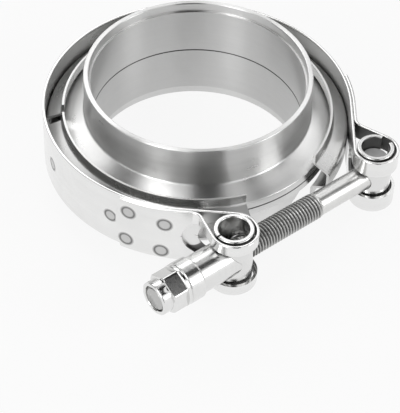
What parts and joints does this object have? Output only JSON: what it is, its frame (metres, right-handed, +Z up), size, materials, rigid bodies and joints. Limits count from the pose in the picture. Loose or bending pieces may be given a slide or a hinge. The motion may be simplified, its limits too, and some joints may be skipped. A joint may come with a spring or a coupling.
{
  "type": "v band clamp",
  "caption": "V-band exhaust clamp with T-bolt and lock nut, closed loosely round its pair of stainless weld flanges.",
  "frame": {"origin": "on the pipe axis, in the plane where the two flanges meet", "axes": "+Z up along the pipe axis; the clamp's opening faces -Y; the T-bolt runs along X with its nut at -X"},
  "size_m": [0.1024, 0.1037, 0.0372],
  "materials": {
    "flange_steel": "turned stainless steel, satin",
    "strap_steel": "bright rolled stainless steel",
    "segment_steel": "pressed stainless steel, satin",
    "barrel_steel": "polished stainless steel",
    "bolt_steel": "rolled thread on bright stainless steel",
    "nut_steel": "polished stainless steel"
  },
  "bodies": {
    "clamp_and_flanges": {"upper_flange": "flange_steel", "lower_flange": "flange_steel", "band_strap": "strap_steel", "v_segment_nut_side": "segment_steel", "v_segment_bolt_side": "segment_steel", "v_segment_rear": "segment_steel", "nut_trunnion": "barrel_steel", "bolt_trunnion": "barrel_steel", "t_bolt": "bolt_steel", "spacer_sleeve": "barrel_steel"},
    "collar": {"thrust_collar": "nut_steel"},
    "nut": {"lock_nut": "nut_steel"}
  },
  "joints": [
    {"name": "nut_travel", "type": "slide", "parent": "clamp_and_flanges", "child": "collar", "axis": [-1, 0, 0], "range_m": [0, 0.008]},
    {"name": "nut_spin", "type": "hinge", "parent": "collar", "child": "nut", "pos_m": [-0.05129, -0.05097, 0], "axis": [-1, 0, 0], "range_deg": [0, 2720]}
  ],
  "couplings": [
    {"joint": "nut_travel", "follows": "nut_spin", "m_per_rad": 0.00016844}
  ]
}
